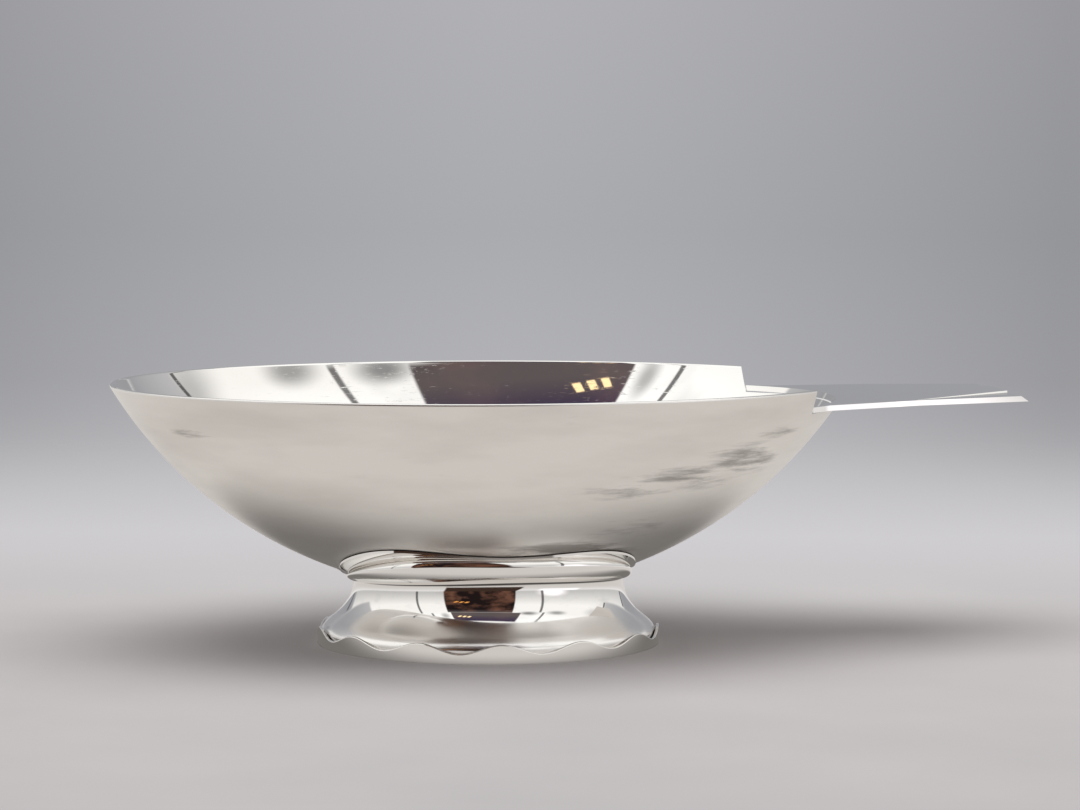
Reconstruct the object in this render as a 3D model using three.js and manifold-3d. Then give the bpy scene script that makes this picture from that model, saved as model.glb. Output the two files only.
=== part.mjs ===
// Silver sauce boat: an oval raised bowl with a flat handle plate let into its rim, on a waisted
// foot. Millimetres, +X towards the handle, +Z up. The origin is the middle of the whole outline
// seen from above, on the surface that the boat stands on.
import * as THREE from 'three';
import { mergeVertices } from 'three/addons/utils/BufferGeometryUtils.js';
import Module from 'manifold-3d';

// Bowl
const bowlLength = 205;
const bowlWidth = 141;
const rimHeight = 72.2;
const bowlUnderside = 14.2; // height of the lowest point of the bowl, inside the foot
const bowlArc = 237.8; // full length of the arc that the long profile is cut from
const bowlWall = 1;
const bowlOffset = -1.8; // centre of the bowl from the centre of the foot, along X

// Handle plate
const handleReach = 148.4; // from the centre of the foot to the far edge
const handleRootX = 82; // the rim is cut away beyond here, measured from the centre of the foot
const handleRootWidth = 72;
const handleFlare = 6; // length of the root, where the plate narrows faster
const handleNeckWidth = 63.6; // at the end of the root
const handleEndWidth = 40.8;
const handleThickness = 1.5;
const handleDrop = 5.1; // from the rim down to the plate, where the plate leaves the bowl
const handleRise = 1.5; // the plate climbs this much towards its end
const handleEndBevel = 2.2;
const creaseStart = 14; // from the bowl's wall to where the two creases leave the side edges
const creaseSpacing = 15.6; // between the two creases at the end
const sideDroop = 0.5; // the side facets fall this much at the end

// Collar, the saddle-shaped moulding between the bowl and the foot
const collarLengthShare = 0.411; // length of its upper edge over the length of the bowl
const collarWidthShare = 0.556;
const collarSquareness = 3.5; // exponent of its rounded-square outline
const collarOffset = -4; // centre of its upper edge from the centre of the foot, along X
const collarEndPull = 30; // exponent of how narrowly its two ends are drawn in to the waist
const collarArch = 2; // its underside climbs this much from the two ends to the two sides
const collarLand = 1; // width of its flat underside
const collarThinnest = 0.3; // height of its inner edge at the two ends
const collarOverhang = 0.4;
const collarBelly = 1.2; // place of its widest line at the sides, on the way from foot to lip
const collarCorners = 0.75; // and at the corners
const collarBellyHeight = 0.59; // height of its widest place, over its height
const collarTurn = 60; // degrees that its face has turned over by where it meets the lip
const collarCrown = 0.84; // place of that line, as a share of the way from the foot to the belly
const collarLip = 0.6; // thickness of the lip
const collarLipShare = 0.3; // and its largest share of the collar's height

// Foot skirt, a concave shell that is open below
const waistLength = 74.4;
const footAspect = 0.9; // width over length, for the skirt and the ring
const skirtWall = 1.2;
const skirtFlare = 2.4; // exponent of the concave part of its profile
const shoulderLength = 87.2; // where the concave part ends and the convex shoulder begins
const shoulderHeight = 6.9;
const shoulderFoot = 3.4; // height where the shoulder becomes upright

// Foot ring, a band with a wavy upper edge and a flat flange that the skirt stands on
const ringLength = 94.6;
const ringBand = 0.8; // thickness of the upright band
const ringFlange = 3.4; // width of the flat underside
const ringFlangeHeight = 1.2;
const ringHeight = 4; // mean height of the wavy edge
const waveHeight = 1.3; // from the mean to a crest
const waveCount = 13;
const waveTrough = -82; // direction of one trough, in degrees from +X

// Room left at each soldered seam
const seam = 0.3;

// Facets
const bowlSides = 84;
const bowlSteps = 13;
const cavitySteps = 11;
const rimSteps = 4;
const poleShare = 0.02; // arc share of the small loop that closes the bowl at its lowest point
const ringSides = 84;
const waveSides = 104;
const sectionSteps = 5;
const flareSteps = 7;
const shoulderSteps = 4;

const wasm = await Module();
wasm.setup();

// Mesh helpers
function signedVolume(points, faces) {
  const cross = new THREE.Vector3();
  let total = 0;
  for (let i = 0; i < faces.length; i += 3) {
    const [a, b, c] = [points[faces[i]], points[faces[i + 1]], points[faces[i + 2]]];
    total += cross.crossVectors(a, b).dot(c) / 6;
  }
  return total;
}

function solidFrom(points, faces) {
  if (signedVolume(points, faces) < 0) {
    for (let i = 0; i < faces.length; i += 3) {
      [faces[i + 1], faces[i + 2]] = [faces[i + 2], faces[i + 1]];
    }
  }
  const geometry = new THREE.BufferGeometry().setFromPoints(points);
  geometry.setIndex(faces);
  return geometry;
}

function capLoop(points, faces, start, count, flip) {
  const centre = new THREE.Vector3();
  for (let j = 0; j < count; j += 1) centre.addScaledVector(points[start + j], 1 / count);
  const hub = points.push(centre) - 1;
  for (let j = 0; j < count; j += 1) {
    const here = start + j;
    const next = start + ((j + 1) % count);
    faces.push(hub, flip ? next : here, flip ? here : next);
  }
}

// Joins a row of closed loops with the same number of points. The ends are capped, or the last
// loop is joined to the first.
function loft(loops, endless = false) {
  const count = loops[0].length;
  const points = loops.flat();
  const faces = [];
  const bands = endless ? loops.length : loops.length - 1;
  for (let i = 0; i < bands; i += 1) {
    const low = i * count;
    const high = ((i + 1) % loops.length) * count;
    for (let j = 0; j < count; j += 1) {
      const next = (j + 1) % count;
      faces.push(low + j, low + next, high + next);
      faces.push(low + j, high + next, high + j);
    }
  }
  if (!endless) {
    capLoop(points, faces, 0, count, true);
    capLoop(points, faces, (loops.length - 1) * count, count, false);
  }
  return solidFrom(points, faces);
}

function toManifold(geometry) {
  const bare = geometry.clone();
  bare.deleteAttribute('normal');
  bare.deleteAttribute('uv');
  const merged = mergeVertices(bare, 1e-5);
  return new wasm.Manifold(new wasm.Mesh({
    numProp: 3,
    vertProperties: Float32Array.from(merged.attributes.position.array),
    triVerts: Uint32Array.from(merged.index.array),
  }));
}

function fromManifold(solid) {
  const mesh = solid.getMesh();
  const geometry = new THREE.BufferGeometry();
  geometry.setAttribute('position', new THREE.Float32BufferAttribute(mesh.vertProperties, 3));
  geometry.setIndex(Array.from(mesh.triVerts));
  return geometry;
}

function turns(count) {
  return Array.from({ length: count }, (_, i) => (i / count) * 2 * Math.PI);
}

function fractions(steps) {
  return Array.from({ length: steps + 1 }, (_, i) => i / steps);
}

// The middle of the bowl's wall is part of an ellipsoid, cut off at the rim
const half = bowlWall / 2;
const rimMidLength = bowlLength / 2 - half;
const rimMidWidth = bowlWidth / 2 - half;
const arcLength = bowlArc / 2;
const rimAngle = Math.asin(rimMidLength / arcLength);
const wallBottom = bowlUnderside + half;
const arcHeight = (rimHeight - half - wallBottom) / (1 - Math.cos(rimAngle));
const arcCentre = wallBottom + arcHeight;
const bowlAspect = rimMidWidth / rimMidLength;

// Half-length, half-width and height of the wall at an arc angle. offset moves out from the
// middle of the wall.
function wallAt(angle, offset) {
  const across = Math.sin(angle) / arcLength;
  const down = Math.cos(angle) / arcHeight;
  const size = Math.hypot(across, down);
  const outward = (offset * across) / size;
  return {
    long: arcLength * Math.sin(angle) + outward,
    wide: bowlAspect * arcLength * Math.sin(angle) + outward,
    height: arcCentre - arcHeight * Math.cos(angle) - (offset * down) / size,
  };
}

function bowlLoop({ long, wide, height }) {
  return turns(bowlSides).map((turn) => new THREE.Vector3(
    bowlOffset + long * Math.cos(turn),
    wide * Math.sin(turn),
    height,
  ));
}

// Arc angle where the bowl's outside passes over a point of the plan
function angleOver(x, y) {
  let low = 0;
  let high = rimAngle;
  for (let i = 0; i < 40; i += 1) {
    const middle = (low + high) / 2;
    const { long, wide } = wallAt(middle, half);
    if (Math.hypot((x - bowlOffset) / long, y / wide) > 1) low = middle;
    else high = middle;
  }
  return high;
}

function undersideAt(x, y) {
  return wallAt(angleOver(x, y), half).height;
}

// Handle plate
const bowlEnd = bowlOffset + bowlLength / 2;
const plateRootTop = rimHeight - handleDrop;
const plateEnd = handleReach - handleEndBevel;
const neckX = handleRootX + handleFlare;
const creaseX = bowlEnd + creaseStart;

function plateTop(x) {
  return THREE.MathUtils.mapLinear(x, handleRootX, plateEnd, plateRootTop, plateRootTop + handleRise);
}

function plateHalfWidth(x) {
  const width = x < neckX
    ? THREE.MathUtils.mapLinear(x, handleRootX, neckX, handleRootWidth, handleNeckWidth)
    : THREE.MathUtils.mapLinear(x, neckX, plateEnd, handleNeckWidth, handleEndWidth);
  return width / 2;
}

// One cross-section of the plate: a flat middle with a facet on each side
function plateLoop(x, slant = 0) {
  const share = Math.max(0, (x - creaseX) / (plateEnd - creaseX));
  const top = plateTop(x);
  const side = plateHalfWidth(x);
  const crease = THREE.MathUtils.lerp(side - handleThickness, creaseSpacing / 2, share);
  const edge = top - sideDroop * share;
  const upper = [[-side, edge], [-crease, top], [crease, top], [side, edge]];
  const lower = upper.map(([y, z]) => [y, z - handleThickness]).reverse();
  return [
    ...upper.map(([y, z]) => new THREE.Vector3(x, y, z)),
    ...lower.map(([y, z]) => new THREE.Vector3(x + slant, y, z)),
  ];
}

// The wall's loops from the lowest point up to the rim, on one side of the wall
function wallLoops(steps, offset) {
  return fractions(steps).map((share) => wallAt(rimAngle * Math.max(share, poleShare), offset));
}

// Room inside the bowl, carried on above the rim
function bowlCavity() {
  const loops = wallLoops(cavitySteps, -half);
  const rim = loops[loops.length - 1];
  loops.push({ ...rim, height: rim.height + handleDrop * 2 });
  return loft(loops.map(bowlLoop));
}

// The rim beyond one upright plane, down to the underside of the plate
function notchCutter() {
  const above = rimHeight + handleDrop;
  const loopAt = (x) => {
    const floor = plateTop(x) - handleThickness - seam;
    return [[-bowlWidth, floor], [bowlWidth, floor], [bowlWidth, above], [-bowlWidth, above]]
      .map(([y, z]) => new THREE.Vector3(x, y, z));
  };
  return loft([handleRootX - seam, bowlEnd + bowlWall].map(loopAt));
}

function bowl() {
  const outer = wallLoops(bowlSteps, half);
  const inner = wallLoops(cavitySteps, -half);
  const middle = wallAt(rimAngle, 0);
  const lip = outer[outer.length - 1];
  const start = Math.atan2(lip.height - middle.height, lip.long - middle.long);
  const rim = fractions(rimSteps).slice(1, -1).map((share) => {
    const turn = start + Math.PI * share;
    return {
      long: middle.long + half * Math.cos(turn),
      wide: middle.wide + half * Math.cos(turn),
      height: middle.height + half * Math.sin(turn),
    };
  });
  const shell = loft([...outer, ...rim, ...inner.reverse()].map(bowlLoop));
  return fromManifold(toManifold(shell).subtract(toManifold(notchCutter())));
}

function handlePlate() {
  const plate = loft([
    plateLoop(handleRootX),
    plateLoop(neckX),
    plateLoop(creaseX),
    plateLoop(plateEnd, handleEndBevel),
  ]);
  return fromManifold(toManifold(plate).subtract(toManifold(bowlCavity())));
}

// Foot
const waist = waistLength / 2;
const collarHalfLength = bowlLength * collarLengthShare / 2;
const collarHalfWidth = bowlWidth * collarWidthShare / 2;
const collarFoot = waist + collarOverhang;
const collarInner = collarFoot - collarLand;
const lowEnd = bowlOffset < 0 ? -collarInner : collarInner;
const collarLow = undersideAt(lowEnd, 0) - seam - collarThinnest;
const skirtBottom = ringFlangeHeight + seam;
const skirtFoot = ringLength / 2 - ringBand - seam;
const shoulder = shoulderLength / 2;

function footPoint(turn, long, height) {
  return new THREE.Vector3(long * Math.cos(turn), footAspect * long * Math.sin(turn), height);
}

// Sweeps a section round the foot. sectionAt gives the section's points at one direction.
function footSweep(sides, sectionAt) {
  return loft(turns(sides).map(sectionAt), true);
}

// Distance from the centre of the collar's upper edge to that edge
function collarReach(turn) {
  const long = Math.abs(Math.cos(turn) / collarHalfLength) ** collarSquareness;
  const wide = Math.abs(Math.sin(turn) / collarHalfWidth) ** collarSquareness;
  return (long + wide) ** (-1 / collarSquareness);
}

// The collar's underside and the skirt's top follow one arched line
function collarBase(turn) {
  return collarLow + collarArch * Math.sin(turn) ** 2;
}

function seated(point) {
  point.setZ(undersideAt(point.x, point.y) - seam);
  return point;
}

// A point of the collar's face: some way from one point to another, and a share of the height
// between the collar's base and the bowl above that place
function facePoint(from, to, across, base, rise) {
  const point = seated(from.clone().lerp(to, across));
  return point.setZ(THREE.MathUtils.lerp(base, point.z, rise));
}

// The collar is a rounded moulding that bellies out at the two sides, under a thin lip with a
// rounded-square outline that follows the bowl
function collarSection(turn) {
  const base = collarBase(turn);
  const inner = footPoint(turn, collarInner, base);
  const foot = footPoint(turn, collarFoot, base);
  const reach = collarReach(turn);
  const corner = new THREE.Vector3(
    collarOffset + reach * Math.cos(turn),
    reach * Math.sin(turn),
    0,
  );
  const pull = Math.abs(Math.cos(turn)) ** collarEndPull;
  const edge = seated(corner.lerp(footPoint(turn, collarFoot + collarOverhang, 0), pull));
  const spread = collarCorners + (collarBelly - collarCorners) * Math.sin(turn) ** 6;
  const belly = foot.clone().lerp(edge, spread);
  const crown = seated(foot.clone().lerp(belly, collarCrown));
  const lip = Math.min(collarLip, collarLipShare * (crown.z - base));
  const crownRise = 1 - lip / (crown.z - base);
  const lower = fractions(sectionSteps).map((share) => {
    const angle = share * (Math.PI / 2);
    const rise = collarBellyHeight * (1 - Math.cos(angle));
    return facePoint(foot, belly, Math.sin(angle), base, rise);
  });
  const last = THREE.MathUtils.degToRad(collarTurn);
  const upper = fractions(sectionSteps).slice(1).map((share) => {
    const angle = share * last;
    const across = (1 - Math.cos(angle)) / (1 - Math.cos(last));
    const rise = THREE.MathUtils.lerp(collarBellyHeight, crownRise, Math.sin(angle) / Math.sin(last));
    return facePoint(belly, crown, across, base, rise);
  });
  const under = edge.clone().setZ(edge.z - lip);
  const saddle = fractions(sectionSteps).map((share) => seated(edge.clone().lerp(inner, share)));
  return [...lower, ...upper, under, ...saddle, inner];
}

// The skirt's profile: concave from the waist, a convex shoulder that carries on at the same
// slope, then upright
function skirtProfile(top) {
  const spread = shoulder - waist;
  const flare = fractions(flareSteps).map((share) => new THREE.Vector2(
    waist + spread * share ** skirtFlare,
    THREE.MathUtils.lerp(top, shoulderHeight, share),
  ));
  const slope = (top - shoulderHeight) / (spread * skirtFlare);
  const bend = new THREE.QuadraticBezierCurve(
    flare.at(-1),
    new THREE.Vector2(skirtFoot, shoulderHeight - slope * (skirtFoot - shoulder)),
    new THREE.Vector2(skirtFoot, shoulderFoot),
  );
  return [
    ...flare,
    ...bend.getPoints(shoulderSteps).slice(1),
    new THREE.Vector2(skirtFoot, skirtBottom),
  ];
}

function skirtSection(turn) {
  const profile = skirtProfile(collarBase(turn) - seam);
  const outside = profile.map(({ x, y }) => footPoint(turn, x, y));
  const inside = profile.map(({ x, y }) => footPoint(turn, x - skirtWall, y));
  return [...outside, ...inside.reverse()];
}

function ringSection(turn) {
  const outside = ringLength / 2;
  const inside = outside - ringBand;
  const flange = outside - ringFlange;
  const wave = waveCount * (turn - THREE.MathUtils.degToRad(waveTrough));
  const crest = ringHeight - waveHeight * Math.cos(wave);
  const shoulder = ringBand / 4;
  return [
    footPoint(turn, flange, 0),
    footPoint(turn, outside, 0),
    footPoint(turn, outside, crest - shoulder),
    footPoint(turn, outside - shoulder, crest),
    footPoint(turn, inside, crest),
    footPoint(turn, inside, ringFlangeHeight),
    footPoint(turn, flange, ringFlangeHeight),
  ];
}

// Assembly
const silver = { color: 0xcfcbc4, metalness: 1 };
const satin = new THREE.MeshStandardMaterial({ ...silver, roughness: 0.3 });
const polished = new THREE.MeshStandardMaterial({ ...silver, roughness: 0.1 });

const boat = new THREE.Group();
boat.position.x = -(handleReach + bowlOffset - bowlLength / 2) / 2;

function addPiece(name, geometry, material) {
  const piece = new THREE.Mesh(geometry, material);
  piece.name = name;
  boat.add(piece);
}

addPiece('bowl', bowl(), satin);
addPiece('handle', handlePlate(), polished);
addPiece('foot_collar', footSweep(ringSides, collarSection), polished);
addPiece('foot_skirt', footSweep(ringSides, skirtSection), polished);
addPiece('foot_ring', footSweep(waveSides, ringSection), polished);

export default boat;
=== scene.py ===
"""Silver sauce boat: a satin bowl on a polished foot, with a flat polished handle plate.

The shapes follow the CAD model's formulas with finer facets. Lengths are in millimetres, apart
from those of the camera, the floor and the overhead light, which are in metres.
"""
import math

import bmesh
import bpy
from mathutils import Matrix, Vector


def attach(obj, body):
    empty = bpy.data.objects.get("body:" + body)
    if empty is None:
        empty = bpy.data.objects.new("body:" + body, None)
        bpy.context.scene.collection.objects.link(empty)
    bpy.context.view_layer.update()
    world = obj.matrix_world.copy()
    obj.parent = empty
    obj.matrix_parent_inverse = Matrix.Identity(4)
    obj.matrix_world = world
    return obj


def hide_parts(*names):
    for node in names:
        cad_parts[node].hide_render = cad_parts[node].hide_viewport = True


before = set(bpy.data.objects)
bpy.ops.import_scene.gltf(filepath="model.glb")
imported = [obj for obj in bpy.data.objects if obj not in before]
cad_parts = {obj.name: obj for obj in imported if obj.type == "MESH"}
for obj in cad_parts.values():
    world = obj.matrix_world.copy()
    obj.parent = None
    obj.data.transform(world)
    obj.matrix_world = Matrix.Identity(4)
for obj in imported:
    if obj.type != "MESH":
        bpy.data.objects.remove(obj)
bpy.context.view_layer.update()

MM = 0.001

# Bowl
BOWL_LENGTH = 205
BOWL_WIDTH = 141
RIM_HEIGHT = 72.2
BOWL_UNDERSIDE = 14.2
BOWL_ARC = 237.8  # length of the whole ellipsoid that the wall is part of
BOWL_WALL = 1
BOWL_OFFSET = -1.8
POLISHED_RIM = 0.4  # share of half the wall that is polished at the top of the rim

# Handle plate
HANDLE_REACH = 148.4
HANDLE_ROOT_X = 82
HANDLE_ROOT_WIDTH = 72
HANDLE_FLARE = 6
HANDLE_NECK_WIDTH = 63.6
HANDLE_END_WIDTH = 40.8
HANDLE_THICKNESS = 1.5
HANDLE_DROP = 5.1
HANDLE_RISE = 1.5
HANDLE_END_BEVEL = 2.2
CREASE_START = 14
CREASE_SPACING = 15.6
CREASE_WIDTH = 0.3
CREASE_FALL = 0.6
SIDE_DROOP = 0.5

# Foot
COLLAR_LENGTH_SHARE = 0.411  # length of its upper edge over the length of the bowl
COLLAR_WIDTH_SHARE = 0.556
COLLAR_LENGTH = BOWL_LENGTH * COLLAR_LENGTH_SHARE
COLLAR_WIDTH = BOWL_WIDTH * COLLAR_WIDTH_SHARE
COLLAR_SQUARENESS = 3.5
COLLAR_OFFSET = -4
COLLAR_END_PULL = 30
COLLAR_ARCH = 2
COLLAR_LAND = 1
COLLAR_THINNEST = 0.3
COLLAR_OVERHANG = 0.4
COLLAR_BELLY = 1.2
COLLAR_CORNERS = 0.75
COLLAR_CORNER_POWER = 6
COLLAR_BELLY_HEIGHT = 0.59
COLLAR_TURN = 60
COLLAR_CROWN = 0.84
COLLAR_LIP = 0.6
COLLAR_LIP_SHARE = 0.3
WAIST_LENGTH = 74.4
FOOT_ASPECT = 0.9
SKIRT_WALL = 1.2
SKIRT_FLARE = 2.4
SHOULDER_LENGTH = 87.2
SHOULDER_HEIGHT = 6.9
SHOULDER_FOOT = 3.4
RING_LENGTH = 94.6
RING_BAND = 0.8
RING_FLANGE = 3.4
RING_FLANGE_HEIGHT = 1.2
RING_HEIGHT = 4
WAVE_HEIGHT = 1.3
WAVE_COUNT = 13
WAVE_TROUGH = -82

# Room left at each soldered seam
SEAM = 0.3

# Facets
BOWL_SIDES = 288
BOWL_STEPS = 56
UNDER_RIM_SHARE = 0.997  # one more loop here keeps the rim's rounding out of the wall's shading
RIM_STEPS = 10
POLE_SHARE = 0.01
FOOT_SIDES = 312
SECTION_STEPS = 20
SEARCH_STEPS = 30

# Edges, with angles in degrees
HANDLE_ROUNDING = 0.25
COLLAR_ROUNDING = 0.5
RING_ROUNDING = 0.3
ROUNDING_STEPS = 3
ROUNDED_FROM = 28
SHARP_FROM = 32

# The CAD model's origin is the middle of the whole outline seen from above
FOOT_X = -(HANDLE_REACH + BOWL_OFFSET - BOWL_LENGTH / 2) / 2


def lerp(a, b, share):
    return a + (b - a) * share


def fractions(steps):
    return [i / steps for i in range(steps + 1)]


def turns(count):
    return [2 * math.pi * i / count for i in range(count)]


# Mesh helpers
def mesh_from(name, points, faces):
    mesh = bpy.data.meshes.new(name)
    mesh.from_pydata([((x + FOOT_X) * MM, y * MM, z * MM) for x, y, z in points], [], faces)
    solid = bmesh.new()
    solid.from_mesh(mesh)
    bmesh.ops.recalc_face_normals(solid, faces=solid.faces)
    solid.to_mesh(mesh)
    solid.free()
    return mesh


def loft(name, loops, endless=False):
    """A closed solid through a row of closed loops with the same number of points."""
    count = len(loops[0])
    points = [point for loop in loops for point in loop]
    faces = []
    for i in range(len(loops) if endless else len(loops) - 1):
        low = i * count
        high = (i + 1) % len(loops) * count
        for j in range(count):
            following = (j + 1) % count
            faces.append((low + j, low + following, high + following, high + j))
    if not endless:
        faces.append(tuple(range(count)))
        faces.append(tuple(range((len(loops) - 1) * count, len(loops) * count)))
    return mesh_from(name, points, faces)


def add_object(name, data):
    made = bpy.data.objects.new(name, data)
    bpy.context.scene.collection.objects.link(made)
    return made


def apply_modifiers(made):
    graph = bpy.context.evaluated_depsgraph_get()
    mesh = bpy.data.meshes.new_from_object(made.evaluated_get(graph))
    made.modifiers.clear()
    made.data = mesh


def cut(made, cutter_mesh):
    """Takes the cutter's room out of the object."""
    cutter = add_object("cutter", cutter_mesh)
    step = made.modifiers.new("cut", "BOOLEAN")
    step.operation = "DIFFERENCE"
    step.solver = "EXACT"
    step.object = cutter
    apply_modifiers(made)
    bpy.data.objects.remove(cutter)


def round_edges(made, width):
    step = made.modifiers.new("rounding", "BEVEL")
    step.width = width * MM
    step.segments = ROUNDING_STEPS
    step.limit_method = "ANGLE"
    step.angle_limit = math.radians(ROUNDED_FROM)
    step.harden_normals = True
    made.data.shade_smooth()
    apply_modifiers(made)


def smooth(made):
    made.data.shade_smooth()
    made.data.set_sharp_from_angle(angle=math.radians(SHARP_FROM))


# The middle of the bowl's wall is part of an ellipsoid, cut off at the rim
HALF = BOWL_WALL / 2
RIM_MID_LENGTH = BOWL_LENGTH / 2 - HALF
ARC_LENGTH = BOWL_ARC / 2
RIM_ANGLE = math.asin(RIM_MID_LENGTH / ARC_LENGTH)
WALL_BOTTOM = BOWL_UNDERSIDE + HALF
ARC_HEIGHT = (RIM_HEIGHT - HALF - WALL_BOTTOM) / (1 - math.cos(RIM_ANGLE))
ARC_CENTRE = WALL_BOTTOM + ARC_HEIGHT
BOWL_ASPECT = (BOWL_WIDTH / 2 - HALF) / RIM_MID_LENGTH


def wall_at(angle, offset):
    """(half-length, half-width, height) of the wall, offset from its middle."""
    across = math.sin(angle) / ARC_LENGTH
    down = math.cos(angle) / ARC_HEIGHT
    size = math.hypot(across, down)
    outward = offset * across / size
    return (
        ARC_LENGTH * math.sin(angle) + outward,
        BOWL_ASPECT * ARC_LENGTH * math.sin(angle) + outward,
        ARC_CENTRE - ARC_HEIGHT * math.cos(angle) - offset * down / size,
    )


def bowl_loop(reach):
    long, wide, height = reach
    return [
        (BOWL_OFFSET + long * math.cos(turn), wide * math.sin(turn), height)
        for turn in turns(BOWL_SIDES)
    ]


def wall_reaches(offset):
    """The wall from its pole to the rim."""
    shares = fractions(BOWL_STEPS)
    shares.insert(-1, UNDER_RIM_SHARE)
    return [wall_at(RIM_ANGLE * max(share, POLE_SHARE), offset) for share in shares]


def underside_at(x, y):
    """Height of the bowl's outside over a point of the plan."""
    low, high = 0.0, RIM_ANGLE
    for _ in range(SEARCH_STEPS):
        middle = (low + high) / 2
        long, wide, _ = wall_at(middle, HALF)
        if math.hypot((x - BOWL_OFFSET) / long, y / wide) > 1:
            low = middle
        else:
            high = middle
    return wall_at(high, HALF)[2]


# Handle plate
BOWL_END = BOWL_OFFSET + BOWL_LENGTH / 2
PLATE_ROOT_TOP = RIM_HEIGHT - HANDLE_DROP
PLATE_END = HANDLE_REACH - HANDLE_END_BEVEL
NECK_X = HANDLE_ROOT_X + HANDLE_FLARE
CREASE_X = BOWL_END + CREASE_START


def plate_top(x):
    return PLATE_ROOT_TOP + HANDLE_RISE * (x - HANDLE_ROOT_X) / (PLATE_END - HANDLE_ROOT_X)


def plate_half_width(x):
    if x < NECK_X:
        return lerp(HANDLE_ROOT_WIDTH, HANDLE_NECK_WIDTH, (x - HANDLE_ROOT_X) / HANDLE_FLARE) / 2
    return lerp(HANDLE_NECK_WIDTH, HANDLE_END_WIDTH, (x - NECK_X) / (PLATE_END - NECK_X)) / 2


def plate_loop(x, slant=0):
    """The plate's outline at x. Past the creases its sides fall a little below its middle."""
    share = max(0, (x - CREASE_X) / (PLATE_END - CREASE_X))
    top = plate_top(x)
    side = plate_half_width(x)
    crease = lerp(side - HANDLE_THICKNESS, CREASE_SPACING / 2, share)
    half = [
        (crease, top),
        (crease + CREASE_WIDTH, top - CREASE_FALL * share),
        (side, top - SIDE_DROOP * share),
    ]
    upper = [(-y, z) for y, z in reversed(half)] + half
    lower = [(y, z - HANDLE_THICKNESS) for y, z in reversed(upper)]
    return [(x, y, z) for y, z in upper] + [(x + slant, y, z) for y, z in lower]


def bowl_cavity():
    """The room inside the bowl, carried on above the rim, to trim the plate's root to the wall."""
    reaches = wall_reaches(-HALF)
    long, wide, height = reaches[-1]
    reaches.append((long, wide, height + HANDLE_DROP * 2))
    return loft("cavity", [bowl_loop(reach) for reach in reaches])


def notch_cutter():
    """The room from the plate's underside up, to cut the rim down square at the handle."""
    above = RIM_HEIGHT + HANDLE_DROP

    def loop_at(x):
        floor = plate_top(x) - HANDLE_THICKNESS - SEAM
        corners = [(-1, floor), (1, floor), (1, above), (-1, above)]
        return [(x, side * BOWL_WIDTH, z) for side, z in corners]

    return loft("notch", [loop_at(HANDLE_ROOT_X - SEAM), loop_at(BOWL_END + BOWL_WALL)])


def bowl_mesh():
    outer = wall_reaches(HALF)
    inner = wall_reaches(-HALF)
    long, wide, height = wall_at(RIM_ANGLE, 0)
    start = math.atan2(outer[-1][2] - height, outer[-1][0] - long)
    rim = []
    for share in fractions(RIM_STEPS)[1:-1]:
        out = HALF * math.cos(start + math.pi * share)
        up = HALF * math.sin(start + math.pi * share)
        rim.append((long + out, wide + out, height + up))
    return loft("bowl", [bowl_loop(reach) for reach in outer + rim + inner[::-1]])


def is_polished(place):
    """Whether a point of the bowl, in metres, is on its inside or on top of its rim."""
    x, y, z = place / MM
    x -= FOOT_X + BOWL_OFFSET
    depth = (ARC_CENTRE - z) / ARC_HEIGHT
    size = math.hypot(x / ARC_LENGTH, y / (BOWL_ASPECT * ARC_LENGTH), depth)
    return size < 1 or z > RIM_HEIGHT - POLISHED_RIM * HALF


# Foot
WAIST = WAIST_LENGTH / 2
COLLAR_FOOT = WAIST + COLLAR_OVERHANG
COLLAR_INNER = COLLAR_FOOT - COLLAR_LAND
COLLAR_LOW = underside_at(math.copysign(COLLAR_INNER, BOWL_OFFSET), 0) - SEAM - COLLAR_THINNEST
SKIRT_BOTTOM = RING_FLANGE_HEIGHT + SEAM
SKIRT_FOOT = RING_LENGTH / 2 - RING_BAND - SEAM
SHOULDER = SHOULDER_LENGTH / 2


def foot_point(turn, long, height):
    return (long * math.cos(turn), FOOT_ASPECT * long * math.sin(turn), height)


def collar_reach(turn):
    """The collar's upper edge is a rounded rectangle."""
    long = abs(math.cos(turn) / (COLLAR_LENGTH / 2)) ** COLLAR_SQUARENESS
    wide = abs(math.sin(turn) / (COLLAR_WIDTH / 2)) ** COLLAR_SQUARENESS
    return (long + wide) ** (-1 / COLLAR_SQUARENESS)


def collar_base(turn):
    return COLLAR_LOW + COLLAR_ARCH * math.sin(turn) ** 2


def between(a, b, share):
    return tuple(lerp(p, q, share) for p, q in zip(a, b))


def seated(point):
    return (point[0], point[1], underside_at(point[0], point[1]) - SEAM)


def face_point(place, base, rise):
    """A point of the collar's face at a share of the height between its base and the bowl."""
    return (place[0], place[1], lerp(base, seated(place)[2], rise))


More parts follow.
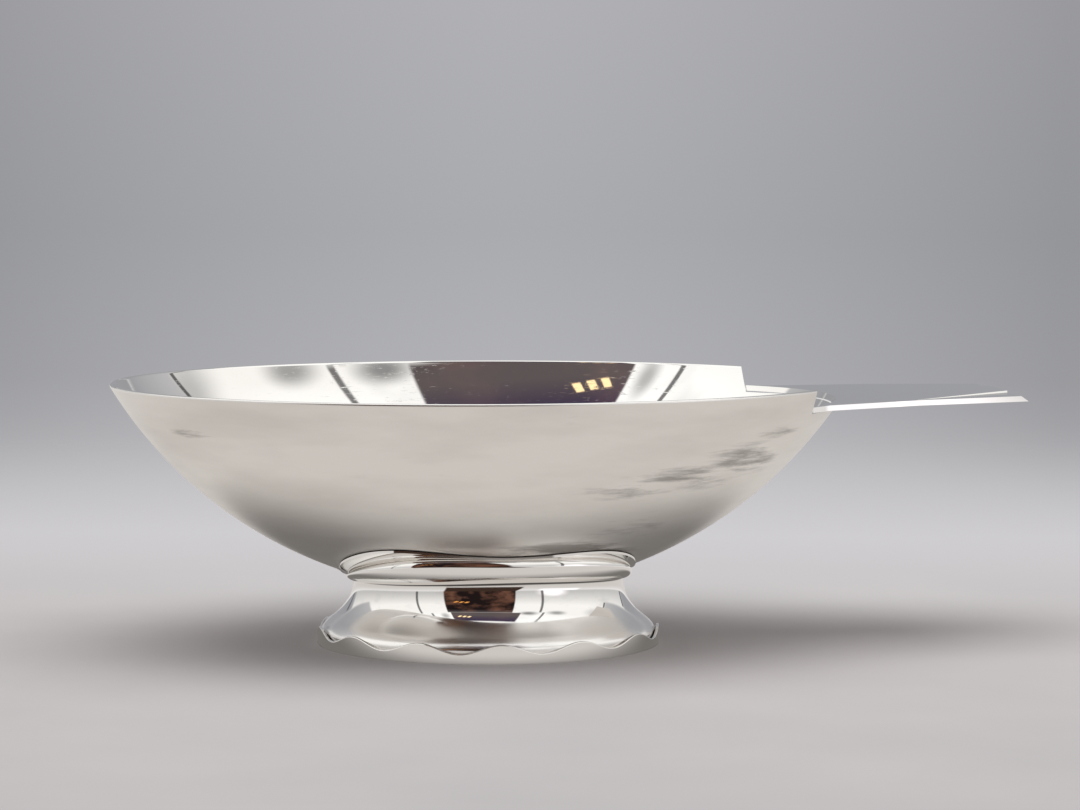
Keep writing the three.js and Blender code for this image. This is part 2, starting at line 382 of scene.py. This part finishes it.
def collar_section(turn):
    """Up the collar's bellied face, round its lip and back under the bowl."""
    base = collar_base(turn)
    inner = foot_point(turn, COLLAR_INNER, base)
    foot = foot_point(turn, COLLAR_FOOT, base)
    reach = collar_reach(turn)
    corner = (COLLAR_OFFSET + reach * math.cos(turn), reach * math.sin(turn), 0)
    pull = abs(math.cos(turn)) ** COLLAR_END_PULL
    edge = seated(between(corner, foot_point(turn, COLLAR_FOOT + COLLAR_OVERHANG, 0), pull))
    sides = math.sin(turn) ** COLLAR_CORNER_POWER
    belly = between(foot, edge, lerp(COLLAR_CORNERS, COLLAR_BELLY, sides))
    crown = seated(between(foot, belly, COLLAR_CROWN))
    lip = min(COLLAR_LIP, COLLAR_LIP_SHARE * (crown[2] - base))
    crown_rise = 1 - lip / (crown[2] - base)
    face = []
    for share in fractions(SECTION_STEPS):
        angle = share * math.pi / 2
        rise = COLLAR_BELLY_HEIGHT * (1 - math.cos(angle))
        face.append(face_point(between(foot, belly, math.sin(angle)), base, rise))
    last = math.radians(COLLAR_TURN)
    for share in fractions(SECTION_STEPS)[1:]:
        angle = share * last
        across = (1 - math.cos(angle)) / (1 - math.cos(last))
        rise = lerp(COLLAR_BELLY_HEIGHT, crown_rise, math.sin(angle) / math.sin(last))
        face.append(face_point(between(belly, crown, across), base, rise))
    under = (edge[0], edge[1], edge[2] - lip)
    saddle = [seated(between(edge, inner, share)) for share in fractions(SECTION_STEPS)]
    return face + [under] + saddle + [inner]


def skirt_profile(top):
    """The skirt's outside from its waist down: a flare, and a bend into an upright foot."""
    spread = SHOULDER - WAIST
    flare = [
        (WAIST + spread * share ** SKIRT_FLARE, lerp(top, SHOULDER_HEIGHT, share))
        for share in fractions(SECTION_STEPS)
    ]
    slope = (top - SHOULDER_HEIGHT) / (spread * SKIRT_FLARE)
    corner = (SKIRT_FOOT, SHOULDER_HEIGHT - slope * (SKIRT_FOOT - SHOULDER))
    last = (SKIRT_FOOT, SHOULDER_FOOT)
    bend = [
        between(between(flare[-1], corner, share), between(corner, last, share), share)
        for share in fractions(SECTION_STEPS)[1:]
    ]
    return flare + bend + [(SKIRT_FOOT, SKIRT_BOTTOM)]


def skirt_section(turn):
    profile = skirt_profile(collar_base(turn) - SEAM)
    outside = [foot_point(turn, long, height) for long, height in profile]
    inside = [foot_point(turn, long - SKIRT_WALL, height) for long, height in profile]
    return outside + inside[::-1]


def ring_section(turn):
    """An upright band with a wavy upper edge, on a flat flange."""
    outside = RING_LENGTH / 2
    inside = outside - RING_BAND
    flange = outside - RING_FLANGE
    wave = WAVE_COUNT * (turn - math.radians(WAVE_TROUGH))
    crest = RING_HEIGHT - WAVE_HEIGHT * math.cos(wave)
    return [
        foot_point(turn, flange, 0),
        foot_point(turn, outside, 0),
        foot_point(turn, outside, crest),
        foot_point(turn, inside, crest),
        foot_point(turn, inside, RING_FLANGE_HEIGHT),
        foot_point(turn, flange, RING_FLANGE_HEIGHT),
    ]


def foot_sweep(name, section):
    return loft(name, [section(turn) for turn in turns(FOOT_SIDES)], endless=True)


# Materials
class Graph:
    """Short names for making shader nodes. A value is a number, a tuple, a socket or a node."""

    def __init__(self, tree):
        self.tree = tree
        tree.nodes.clear()

    def node(self, kind, sockets=(), **settings):
        made = self.tree.nodes.new("ShaderNode" + kind)
        for key, value in settings.items():
            setattr(made, key, value)
        for key, value in dict(sockets).items():
            self.put(made.inputs[key], value)
        return made

    def put(self, socket, value):
        if isinstance(value, bpy.types.NodeSocket):
            self.tree.links.new(value, socket)
        elif isinstance(value, bpy.types.Node):
            self.tree.links.new(value.outputs[0], socket)
        else:
            socket.default_value = value

    def math(self, operation, a, b=0.0):
        return self.node("Math", {0: a, 1: b}, operation=operation)

    def add(self, a, b):
        return self.math("ADD", a, b)

    def subtract(self, a, b):
        return self.math("SUBTRACT", a, b)

    def multiply(self, a, b):
        return self.math("MULTIPLY", a, b)

    def degrees(self, angle):
        return self.multiply(angle, 180 / math.pi)

    def vector(self, operation, a, b):
        return self.node("VectorMath", {0: a, 1: tuple(b)}, operation=operation)

    def dot(self, a, axis):
        return self.vector("DOT_PRODUCT", a, axis).outputs["Value"]

    def length(self, a):
        return self.node("VectorMath", {0: a}, operation="LENGTH").outputs["Value"]

    def ramp(self, value, low, high, bottom=0.0, top=1.0):
        """From bottom at low to top at high, in a straight line."""
        return self.node("MapRange", {0: value, 1: low, 2: high, 3: bottom, 4: top})

    def ease(self, value, low, high, bottom=0.0, top=1.0):
        """From bottom at low to top at high, with soft ends."""
        made = self.ramp(value, low, high, bottom, top)
        made.interpolation_type = "SMOOTHSTEP"
        return made

    def within(self, value, low, high, soft):
        """1 between low and high, with soft edges."""
        rise = self.ease(value, low - soft, low + soft)
        fall = self.ease(value, high - soft, high + soft, 1.0, 0.0)
        return self.multiply(rise, fall)

    def mix(self, share, a, b):
        made = self.node("Mix", data_type="RGBA")
        self.put(made.inputs[0], share)
        self.put(made.inputs[6], a)
        self.put(made.inputs[7], b)
        return made.outputs[2]

    def noise(self, place, scale, detail, roughness=0.55):
        sockets = {"Vector": place, "Scale": scale, "Detail": detail, "Roughness": roughness}
        return self.node("TexNoise", sockets).outputs[0]

    def streaks(self, place, stretch, *noise):
        """Noise drawn out along the axes where stretch is small."""
        return self.noise(self.node("Mapping", {"Vector": place, "Scale": stretch}), *noise)


def rgb(red, green, blue):
    """An sRGB colour in 0 to 255 as linear RGBA."""
    def linear(value):
        value /= 255
        return value / 12.92 if value <= 0.04045 else ((value + 0.055) / 1.055) ** 2.4
    return (linear(red), linear(green), linear(blue), 1.0)


# Streaks: stretch along each axis, scale, detail and, for some, roughness of the noise
SCRATCHES_ROUND = ((0.06, 0.06, 1.0), 1100.0, 3.0, 0.7)
SCRATCHES_DOWN = ((1.0, 1.0, 0.05), 900.0, 3.0, 0.7)
SPECKS = ((0.08, 0.08, 1.0), 4200.0, 1.0)
WEAR_CLOUDS = ((0.5, 0.5, 2.2), 38.0, 4.0)
STAIN_AND_SHADE_STREAKS = ((0.9, 0.9, 9.0), 55.0, 7.0, 0.68)

# How strongly each mark shows
ROUND_SHARE = 0.6
SCRATCH_DEPTH = 0.02
WEAR_LIMITS = (0.42, 0.72)
WEAR_TINT = 0.5
WEAR_ROUGHNESS = 0.02
STAIN_AND_SHADE_LIMIT = 0.64
STAIN_AND_SHADE_SPREAD = 0.24  # how far a fully stained or shaded spot lowers the limit
STAIN_AND_SHADE_SOFTNESS = 0.20
STAIN_AND_SHADE_COLOUR = rgb(128, 122, 118)
STAIN_AND_SHADE_TINT = 0.64
STAIN_AND_SHADE_ROUGHNESS = 0.1
BLOB_CORE = 0.2  # share of a blob's half-sizes inside which it is full

# Foot's groove, darkened with painted shade, with edges off the gap's middle, and its worn flare,
# with edges by height
GROOVE_SHADE_COLOUR = rgb(58, 52, 48)
GROOVE_SHADE_EDGES = (0.7, 0.3)
GROOVE_SHADE_TINT = 0.9
GROOVE_ROUGHNESS = 0.4
FLARE_EDGES = (11.8, 8.0)
FLARE_ROUGHNESS = 0.17


def blob(g, place, centre, size):
    """1 in the middle of an ellipsoid, falling to 0 at its half-sizes."""
    moved = g.vector("SUBTRACT", place, [value * MM for value in centre])
    scaled = g.vector("MULTIPLY", moved, [1 / (value * MM) for value in size])
    return g.ease(g.length(scaled), 1.0, BLOB_CORE)


def stains_and_shade(g, place, tarnish_and_shade):
    """How dull a point is where it is tarnished or painted with shade, from 0 to 1."""
    spread = g.streaks(place, *STAIN_AND_SHADE_STREAKS)
    stain_and_shade = 0.0
    for centre, size, strength in tarnish_and_shade:
        here = g.multiply(blob(g, place, centre, size), strength)
        limit = g.subtract(STAIN_AND_SHADE_LIMIT, g.multiply(here, STAIN_AND_SHADE_SPREAD))
        mark = g.ramp(spread, limit, g.add(limit, STAIN_AND_SHADE_SOFTNESS))
        stain_and_shade = g.math("MAXIMUM", stain_and_shade, g.multiply(mark, here))
    return stain_and_shade


def groove_shade(g, place):
    """1 in the narrow gap where the foot's skirt meets the collar, where shade is painted."""
    parts = g.node("SeparateXYZ", {0: place}).outputs
    along = g.subtract(parts["X"], FOOT_X * MM)
    across = g.math("DIVIDE", parts["Y"], FOOT_ASPECT)
    along, across = (g.multiply(value, value) for value in (along, across))
    arch = g.math("DIVIDE", across, g.add(along, across))
    height = g.add(g.multiply(arch, COLLAR_ARCH * MM), (COLLAR_LOW - SEAM / 2) * MM)
    off = g.math("ABSOLUTE", g.subtract(parts["Z"], height))
    return g.ease(off, *(edge * MM for edge in GROOVE_SHADE_EDGES))


def worn_flare(g, place):
    """1 on the flare at the bottom of the skirt."""
    height = g.node("SeparateXYZ", {0: place}).outputs["Z"]
    return g.ease(height, *(edge * MM for edge in FLARE_EDGES))


def silver(
    name, clean, dull, rough, scratch, limits=(0.35, 0.65), grain=0.0, tarnish_and_shade=(), groove_shaded=False
):
    """Silver with fine crossing scratches of the strength scratch. rough is (cleanest, dullest)
    roughness, limits where in the scratches each begins, grain the share of fine specks among
    the scratches, and the table of dull streaks gives their (centre, half-sizes, strength): most
    are tarnished spots and one, by the collar, is painted shade. A switch paints shade into the
    gap under the collar."""
    made = bpy.data.materials.new(name)
    made.use_nodes = True
    g = Graph(made.node_tree)
    place = g.node("TexCoord").outputs["Object"]
    round_marks = g.multiply(g.streaks(place, *SCRATCHES_ROUND), ROUND_SHARE)
    down_marks = g.multiply(g.streaks(place, *SCRATCHES_DOWN), 1 - ROUND_SHARE)
    marks = g.add(round_marks, down_marks)
    specks = g.streaks(place, *SPECKS)
    crossing = g.add(g.multiply(specks, grain), g.multiply(marks, 1.0 - grain))
    wear = g.ramp(g.streaks(place, *WEAR_CLOUDS), *WEAR_LIMITS)
    colour = g.mix(g.multiply(wear, WEAR_TINT), clean, dull)
    roughness = g.add(g.ramp(crossing, *limits, *rough), g.multiply(wear, WEAR_ROUGHNESS))
    # Tarnished streaks, and painted shade where the blob by the collar stands for shadow
    if tarnish_and_shade:
        stain_and_shade = stains_and_shade(g, place, tarnish_and_shade)
        colour = g.mix(g.multiply(stain_and_shade, STAIN_AND_SHADE_TINT), colour, STAIN_AND_SHADE_COLOUR)
        roughness = g.add(roughness, g.multiply(stain_and_shade, STAIN_AND_SHADE_ROUGHNESS))
    # Painted shade: the gap where the skirt meets the collar is darkened as if in shadow
    if groove_shaded:
        gap = g.multiply(groove_shade(g, place), GROOVE_SHADE_TINT)
        colour = g.mix(gap, colour, GROOVE_SHADE_COLOUR)
        roughness = g.add(roughness, g.multiply(gap, GROOVE_ROUGHNESS))
        roughness = g.add(roughness, g.multiply(worn_flare(g, place), FLARE_ROUGHNESS))
    bump = g.node("Bump", {"Strength": scratch, "Distance": SCRATCH_DEPTH * MM, "Height": marks})
    shader = g.node("BsdfPrincipled", {
        "Base Color": colour, "Metallic": 1.0, "Roughness": roughness, "Normal": bump,
    })
    g.node("OutputMaterial", {"Surface": shader})
    return made


# Dull streaks on the near side of the bowl, tarnished spots except the one by the collar, which is
# painted shade: centre, half-sizes, strength
TARNISH_AND_SHADE = (
    ((40, -45, 54), (24, 26, 8), 1.05),
    ((24, -49, 50), (34, 26, 6), 1.0),
    ((4, -54, 47), (30, 24, 5), 0.85),
    ((9, -42, 36), (24, 20, 7), 0.8),
    ((49, -42, 61), (14, 16, 3), 0.9),
    ((-109, -31, 62), (10, 14, 3), 0.9),
    ((-6, -68, 68), (34, 20, 4), 0.5),
    ((-8, -38, 29), (40, 22, 7), 1.3),
    ((-60, -52, 50), (60, 40, 22), 0.2),
)
# The satin carries tarnished streaks and a patch of painted shade by the collar
SATIN = silver(
    "satin_silver", clean=rgb(240, 237, 233), dull=rgb(212, 207, 202),
    rough=(0.28, 0.33), scratch=0.05, tarnish_and_shade=TARNISH_AND_SHADE,
)
INSIDE = silver(
    "inside_silver", clean=rgb(243, 241, 238), dull=rgb(236, 233, 229),
    rough=(0.02, 0.33), scratch=0.05, limits=(0.57, 0.72), grain=0.5,
)
POLISH = {
    "clean": rgb(241, 239, 236), "dull": rgb(232, 229, 225),
    "rough": (0.015, 0.04), "scratch": 0.06,
}
POLISHED = silver("polished_silver", **POLISH)
# The collar and the skirt carry painted shade in the gap between them
GROOVE_SHADED = silver("groove_shaded_silver", **POLISH, groove_shaded=True)


def finish_piece(made, materials, replaced):
    for material in materials:
        made.data.materials.append(material)
    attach(made, "root")
    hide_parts(replaced)


# Bowl
bowl = add_object("bowl_shell", bowl_mesh())
cut(bowl, notch_cutter())
smooth(bowl)
finish_piece(bowl, [SATIN, INSIDE], "bowl")
for face in bowl.data.polygons:
    face.material_index = 1 if is_polished(face.center) else 0

# Handle
handle = add_object("handle_plate", loft("handle", [
    plate_loop(HANDLE_ROOT_X),
    plate_loop(NECK_X),
    plate_loop(CREASE_X),
    plate_loop(PLATE_END, HANDLE_END_BEVEL),
]))
cut(handle, bowl_cavity())
round_edges(handle, HANDLE_ROUNDING)
finish_piece(handle, [POLISHED], "handle")

# Foot
collar = add_object("foot_collar_moulding", foot_sweep("collar", collar_section))
round_edges(collar, COLLAR_ROUNDING)
finish_piece(collar, [GROOVE_SHADED], "foot_collar")

skirt = add_object("foot_skirt_shell", foot_sweep("skirt", skirt_section))
smooth(skirt)
finish_piece(skirt, [GROOVE_SHADED], "foot_skirt")

ring = add_object("foot_ring_band", foot_sweep("ring", ring_section))
round_edges(ring, RING_ROUNDING)
finish_piece(ring, [POLISHED], "foot_ring")

# Camera, in metres and degrees
CAMERA_PLACE = (-0.2479, -1.1289, 0.170)
CAMERA_YAW = 12.0
CAMERA_PITCH = 5.18
CAMERA_ROLL = 0.40
CAMERA_LENS = 140.2
CAMERA_SENSOR = 36
CAMERA_LIMIT = 20

# Level directions: to the right of the picture, towards the camera and away from it
yaw, pitch, roll = (math.radians(a) for a in (CAMERA_YAW, CAMERA_PITCH, CAMERA_ROLL))
level = Vector((math.cos(yaw), -math.sin(yaw), 0))
toward = Vector((-math.sin(yaw), -math.cos(yaw), 0))
onward = -toward

ahead = Vector(
    (math.sin(yaw) * math.cos(pitch), math.cos(yaw) * math.cos(pitch), -math.sin(pitch))
)
over = level.cross(ahead)
right = level * math.cos(roll) + over * math.sin(roll)
up = over * math.cos(roll) - level * math.sin(roll)
facing = Matrix((right, up, -ahead)).transposed().to_4x4()
camera = add_object("camera", bpy.data.cameras.new("camera"))
camera.data.lens = CAMERA_LENS
camera.data.sensor_width = CAMERA_SENSOR
camera.data.sensor_fit = "HORIZONTAL"
camera.data.clip_end = CAMERA_LIMIT
camera.matrix_world = Matrix.Translation(CAMERA_PLACE) @ facing
bpy.context.scene.camera = camera

# Sides of the tent's two openings, one above the other, in degrees from the camera's side
LOWER_OPENING = (-31.0, 25.5)
UPPER_OPENING = (-28.5, 33.0)

# Floor, with distances in metres
FLOOR_RADIUS = 3.0
FLOOR_SIDES = 96
FLOOR_FADE = (0.28, 0.75)
PAPER_NOISE = (9.0, 5.0)
PAPER_LIMITS = (0.3, 0.7)
PAPER_DARK = rgb(189, 186, 187)
PAPER_LIGHT = rgb(197, 193, 193)
# Painted light: the paper is paler behind the boat, as if lit more there
PAPER_LIT_BEHIND = rgb(209, 208, 211)
LIT_BEHIND_EDGES = (0.04, 0.24)

# Floor as the silver mirrors it, a glow seen only in reflections: painted shade for the boat's
# shadow, the lit floor round it, a painted lit patch by a lamp and the dark room beyond the tent's
# opening
SHADE_CENTRE = ((FOOT_X + 3) * MM, 22 * MM, 0)
SHADE_SCALE = (10.0, 13.9, 1.0)
SHADE_EDGES = (0.72, 1.16)
SHADE_COLOUR = (0.195, 0.185, 0.175, 1.0)
NEAR_COLOUR = (0.695, 0.665, 0.64, 1.0)
FAR_COLOUR = (0.85, 0.84, 0.84, 1.0)
FAR_EDGES = (0.22, 0.55)
LIT_SIDES = (42.0, 78.0)
LIT_SOFTNESS = 3.0
LIT_EDGES = (0.35, 0.5)
LIT_COLOUR = (1.25, 1.22, 1.27, 1.0)
DARK_SOFTNESS = 0.8
DARK_EDGES = (0.235, 0.265)
DARK_COLOUR = (0.05, 0.03, 0.022, 1.0)


def paper_colour(g, place):
    """The floor as the camera sees it, with painted light making it paler behind the boat."""
    paper = g.mix(g.ramp(g.noise(place, *PAPER_NOISE), *PAPER_LIMITS), PAPER_DARK, PAPER_LIGHT)
    return g.mix(g.ramp(g.dot(place, onward), *LIT_BEHIND_EDGES), paper, PAPER_LIT_BEHIND)


# Painted reflection: a glow that only glossy rays see, with a painted shadow under the boat and a
# painted lit patch, not the floor's real shadow
def mirrored_floor(g, place, distance):
    moved = g.vector("SUBTRACT", place, SHADE_CENTRE)
    shade = g.length(g.vector("MULTIPLY", moved, SHADE_SCALE))
    colour = g.mix(g.ease(shade, *SHADE_EDGES), SHADE_COLOUR, NEAR_COLOUR)
    colour = g.mix(g.ramp(distance, *FAR_EDGES), colour, FAR_COLOUR)
    side = g.degrees(g.math("ARCTAN2", g.dot(place, level), g.dot(place, toward)))
    lit = g.multiply(g.within(side, *LIT_SIDES, LIT_SOFTNESS), g.ramp(distance, *LIT_EDGES))
    colour = g.mix(lit, colour, LIT_COLOUR)
    dark = g.multiply(
        g.within(side, *LOWER_OPENING, DARK_SOFTNESS), g.ramp(distance, *DARK_EDGES)
    )
    return g.mix(dark, colour, DARK_COLOUR)


floor_mesh = bpy.data.meshes.new("floor")
floor_mesh.from_pydata(
    [(FLOOR_RADIUS * math.cos(t), FLOOR_RADIUS * math.sin(t), 0) for t in turns(FLOOR_SIDES)],
    [], [tuple(range(FLOOR_SIDES))],
)
floor = add_object("floor", floor_mesh)
floor_paint = bpy.data.materials.new("floor")
floor_paint.use_nodes = True
floor_mesh.materials.append(floor_paint)
g = Graph(floor_paint.node_tree)
place = g.node("TexCoord").outputs["Object"]
path = g.node("LightPath")
distance = g.length(place)
matt = g.node("BsdfDiffuse", {"Color": paper_colour(g, place)})
# Painted reflection of the floor, seen only by glossy rays
glow = g.node("Emission", {"Color": mirrored_floor(g, place, distance)})
seen = g.node("MixShader", {0: path.outputs["Is Glossy Ray"], 1: matt, 2: glow})
gone = g.multiply(g.ease(distance, *FLOOR_FADE), path.outputs["Is Camera Ray"])
edge = g.node("MixShader", {0: gone, 1: seen, 2: g.node("BsdfTransparent")})
g.node("OutputMaterial", {"Surface": edge})

# World: the backdrop that the camera sees, and the light tent that the silver mirrors. A side
# is an angle round the boat with the camera at 0, and a rise is an angle up, both in degrees
AMBIENT_COLOUR = (0.44, 0.438, 0.44, 1.0)

# Backdrop's sRGB colour by rise, and how it darkens to the sides
BACKDROP = (
    (-12.0, (208, 207, 209)), (-7.2, (214, 213, 216)), (-6.4, (207, 207, 210)),
    (-5.6, (190, 190, 194)), (-4.8, (178, 178, 182)), (-2.8, (170, 171, 175)),
    (0.3, (176, 176, 181)), (6.0, (177, 177, 182)),
)
BACKDROP_LOW = BACKDROP[0][0]
BACKDROP_HIGH = BACKDROP[-1][0]
FALL_COLOUR = rgb(96, 96, 100)
FALL_OFFSET = 0.008
FALL_POWER = 1.5
FALL_STRENGTH = 7.5
FALL_LIMIT = 0.36

# Tent's wall: its colours, and the rises between which one turns into the next
WALL_LOW = (0.62, 0.615, 0.61, 1.0)
WALL_MIDDLE = (1.08, 1.07, 1.05, 1.0)
WALL_MIDDLE_RISES = (2.0, 24.0)
WALL_HIGH = (1.18, 1.18, 1.17, 1.0)
WALL_HIGH_RISES = (39.0, 47.0)
WALL_SOFTNESS = 2.0
ROOF_COLOUR = (1.3, 1.3, 1.29, 1.0)
ROOF_RISES = (78.0, 95.0)
CLOUD_NOISE = (3.6, 2.0)
CLOUD_LIMITS = (0.55, 0.75)
CLOUD_STRENGTH = 0.25
CLOUD_COLOUR = (0.45, 0.45, 0.445, 1.0)

# Patches on the wall: side, rise, their half-sizes, strength
SMUDGE_COLOUR = (0.3, 0.3, 0.3, 1.0)
SMUDGES = (
    (66.0, 38.0, 13.0, 5.0, 0.85),
    (40.0, 40.5, 12.0, 5.0, 1.0),
    (-35.0, 47.0, 6.0, 8.0, 0.7),
    (112.0, 33.0, 24.0, 9.0, 0.65),
)
BRIGHT_COLOUR = (1.6, 1.55, 1.6, 1.0)
BRIGHT_PATCH = (56.0, 2.0, 17.0, 9.0, 0.9)
PATCH_CORE = 0.1  # share of a patch's half-sizes inside which it is full

# Tent's grey back: from which side on, and between which rises
ALL_ROUND = 400.0  # beyond any side, so that a patch has no far edge
LOW_BACK_SIDES = (145.0, ALL_ROUND)
LOW_BACK_RISES = (-90.0, 16.0)
HIGH_BACK_SIDES = (115.0, ALL_ROUND)
HIGH_BACK_RISES = (16.0, 52.0)
LOW_BACK_SOFTNESS = 1.0
BACK_SIDES = (115.0, 150.0)
BACK_NEAR = rgb(196, 196, 198)
BACK_FAR = rgb(160, 161, 166)

# Tent's seams: side at rise 0, change of side per degree of rise, lowest and highest rise
TENT_SEAMS = (
    (46.5, 0.09, -20.0, 38.3),
    (53.5, 0.0, 38.3, 60.0),
    (-54.8, -0.06, -20.0, 42.0),
    (-47.0, 0.0, 42.0, 60.0),
    (114.0, 0.0, 17.0, 50.0),
    (144.0, 0.0, -20.0, 14.0),
    (-152.0, 0.0, -20.0, 14.0),
)
TENT_SEAM_HALF = 1.05
TENT_SEAM_SOFTNESS = 0.45
TENT_SEAM_END = 1.0
TENT_SEAM_STRENGTH = 0.85
TENT_SEAM_COLOUR = (0.05, 0.045, 0.05, 1.0)

# Dark room beyond the openings: sides, and lowest and highest rise, of each opening
OPENINGS = ((LOWER_OPENING, (-8.0, 40.0)), (UPPER_OPENING, (40.0, 57.0)))
OPENING_SIDE_SOFTNESS = 0.6
OPENING_RISE_SOFTNESS = 0.8
ROOM_NOISE = (4.0, 4.0)
ROOM_LIMITS = (0.45, 0.65)
ROOM_DARK = (0.016, 0.010, 0.010, 1.0)
ROOM_WARM = (0.16, 0.075, 0.05, 1.0)
CEILING_RISES = (34.0, 42.0)
CEILING_STRENGTH = 0.8
CEILING_NEAR = (0.15, 0.125, 0.13, 1.0)
CEILING_FAR = (0.07, 0.052, 0.10, 1.0)
CEILING_FAR_RISES = (46.0, 54.0)

# Room's lamps, in two rows of three slanted panes
LAMP_SIDE = -17
LAMP_SIDE_STEP = 4.4
LAMP_RISE_STEP = 0.5
LAMP_ROWS = (19.0, 48.6)
LAMP_SLANT = 1.06
LAMP_TILT = 0.115
LAMP_HALF = 1.4
LAMP_SOFTNESS = 0.2
LAMP_LOW_COLOUR = (1.0, 0.42, 0.10, 1.0)
LAMP_HIGH_COLOUR = (1.5, 1.12, 0.62, 1.0)
LAMP_COLOUR_RISES = (24.0, 40.0)

world = bpy.data.worlds.new("studio")
world.use_nodes = True
bpy.context.scene.world = world
g = Graph(world.node_tree)
path = g.node("LightPath")
way = g.node("TexCoord").outputs["Generated"]
side = g.degrees(g.math("ARCTAN2", g.dot(way, level), g.dot(way, toward)))
rise = g.degrees(g.math("ARCSINE", g.dot(way, (0, 0, 1))))
back = g.math("ABSOLUTE", side)


def backdrop():
    made = g.node("ValToRGB", {0: g.ramp(rise, BACKDROP_LOW, BACKDROP_HIGH)})
    shares = [(height - BACKDROP_LOW) / (BACKDROP_HIGH - BACKDROP_LOW) for height, _ in BACKDROP]
    stops = made.color_ramp.elements
    for share in shares[1:-1]:
        stops.new(share)
    for stop, share, (_, colour) in zip(stops, shares, BACKDROP):
        stop.position = share
        stop.color = rgb(*colour)
    aside = g.add(g.math("DIVIDE", g.dot(way, level), g.dot(way, onward)), FALL_OFFSET)
    fall = g.multiply(g.math("POWER", g.math("ABSOLUTE", aside), FALL_POWER), FALL_STRENGTH)
    return g.mix(g.math("MINIMUM", fall, FALL_LIMIT), made.outputs[0], FALL_COLOUR)


def with_patch(under, patch, colour):
    """The light under it with an oval patch of a colour over it."""
    patch_side, patch_rise, half_side, half_rise, strength = patch
    across = g.math("DIVIDE", g.subtract(side, patch_side), half_side)
    upward = g.math("DIVIDE", g.subtract(rise, patch_rise), half_rise)
    reach = g.math("SQRT", g.add(g.multiply(across, across), g.multiply(upward, upward)))
    return g.mix(g.ease(reach, 1.0, PATCH_CORE, 0.0, strength), under, colour)


def tent_wall():
    """The tent's cloth, with its patches, its grey back, its roof and its seams."""
    tent = g.mix(g.ramp(rise, *WALL_MIDDLE_RISES), WALL_LOW, WALL_MIDDLE)
    tent = g.mix(g.ramp(rise, *WALL_HIGH_RISES), tent, WALL_HIGH)
    for smudge in SMUDGES:
        tent = with_patch(tent, smudge, SMUDGE_COLOUR)
    tent = with_patch(tent, BRIGHT_PATCH, BRIGHT_COLOUR)
    cloud = g.ramp(g.noise(way, *CLOUD_NOISE), *CLOUD_LIMITS, 0.0, CLOUD_STRENGTH)
    tent = g.mix(cloud, tent, CLOUD_COLOUR)
    low_back = g.multiply(
        g.within(back, *LOW_BACK_SIDES, WALL_SOFTNESS),
        g.within(rise, *LOW_BACK_RISES, LOW_BACK_SOFTNESS),
    )
    high_back = g.multiply(
        g.within(back, *HIGH_BACK_SIDES, WALL_SOFTNESS),
        g.within(rise, *HIGH_BACK_RISES, WALL_SOFTNESS),
    )
    grey = g.mix(g.ramp(back, *BACK_SIDES), BACK_NEAR, BACK_FAR)
    tent = g.mix(g.math("MAXIMUM", low_back, high_back), tent, grey)
    tent = g.mix(g.within(rise, *ROOF_RISES, WALL_SOFTNESS), tent, ROOF_COLOUR)
    for seam_side, slope, lowest, highest in TENT_SEAMS:
        away = g.subtract(side, g.add(g.multiply(rise, slope), seam_side))
        line = g.multiply(
            g.within(away, -TENT_SEAM_HALF, TENT_SEAM_HALF, TENT_SEAM_SOFTNESS),
            g.within(rise, lowest, highest, TENT_SEAM_END),
        )
        tent = g.mix(g.multiply(line, TENT_SEAM_STRENGTH), tent, TENT_SEAM_COLOUR)
    return tent


def dark_room():
    room = g.mix(g.ramp(g.noise(way, *ROOM_NOISE), *ROOM_LIMITS), ROOM_DARK, ROOM_WARM)
    ceiling = g.mix(g.ramp(rise, *CEILING_FAR_RISES), CEILING_NEAR, CEILING_FAR)
    return g.mix(g.ramp(rise, *CEILING_RISES, 0.0, CEILING_STRENGTH), room, ceiling)


def with_lamps(under):
    """The light under them with the room's lamps over it."""
    colour = g.mix(g.ramp(rise, *LAMP_COLOUR_RISES), LAMP_LOW_COLOUR, LAMP_HIGH_COLOUR)
    slanted = g.add(side, g.multiply(rise, LAMP_SLANT))
    tilted = g.subtract(rise, g.multiply(side, LAMP_TILT))

    def close_to(value, middle):
        return g.within(value, middle - LAMP_HALF, middle + LAMP_HALF, LAMP_SOFTNESS)

    for step in (-1, 0, 1):
        for row in LAMP_ROWS:
            lamp_side = LAMP_SIDE + step * LAMP_SIDE_STEP
            lamp_rise = row + step * LAMP_RISE_STEP
            pane = g.multiply(
                close_to(slanted, lamp_side + LAMP_SLANT * lamp_rise),
                close_to(tilted, lamp_rise - LAMP_TILT * lamp_side),
            )
            under = g.mix(pane, under, colour)
    return under


tent = tent_wall()
room = dark_room()
for sides, rises in OPENINGS:
    hole = g.multiply(
        g.within(side, *sides, OPENING_SIDE_SOFTNESS),
        g.within(rise, *rises, OPENING_RISE_SOFTNESS),
    )
    tent = g.mix(hole, tent, room)
light = g.mix(path.outputs["Is Glossy Ray"], AMBIENT_COLOUR, with_lamps(tent))
shown = g.mix(path.outputs["Is Camera Ray"], light, backdrop())
g.node("OutputWorld", {"Surface": g.node("Background", {"Color": shown, "Strength": 1.0})})

# Soft light from above, in metres and watts
OVERHEAD_LENGTH = 0.9
OVERHEAD_WIDTH = 0.7
OVERHEAD_POWER = 5.0
OVERHEAD_COLOUR = (1.0, 0.99, 0.98)
OVERHEAD_PLACE = (-0.02, -0.05, 0.75)
overhead = add_object("overhead", bpy.data.lights.new("overhead", "AREA"))
overhead.data.shape = "RECTANGLE"
overhead.data.size = OVERHEAD_LENGTH
overhead.data.size_y = OVERHEAD_WIDTH
overhead.data.energy = OVERHEAD_POWER
overhead.data.color = OVERHEAD_COLOUR
overhead.location = OVERHEAD_PLACE
overhead.visible_glossy = False
overhead.visible_camera = False

bpy.context.scene.view_settings.view_transform = "Standard"
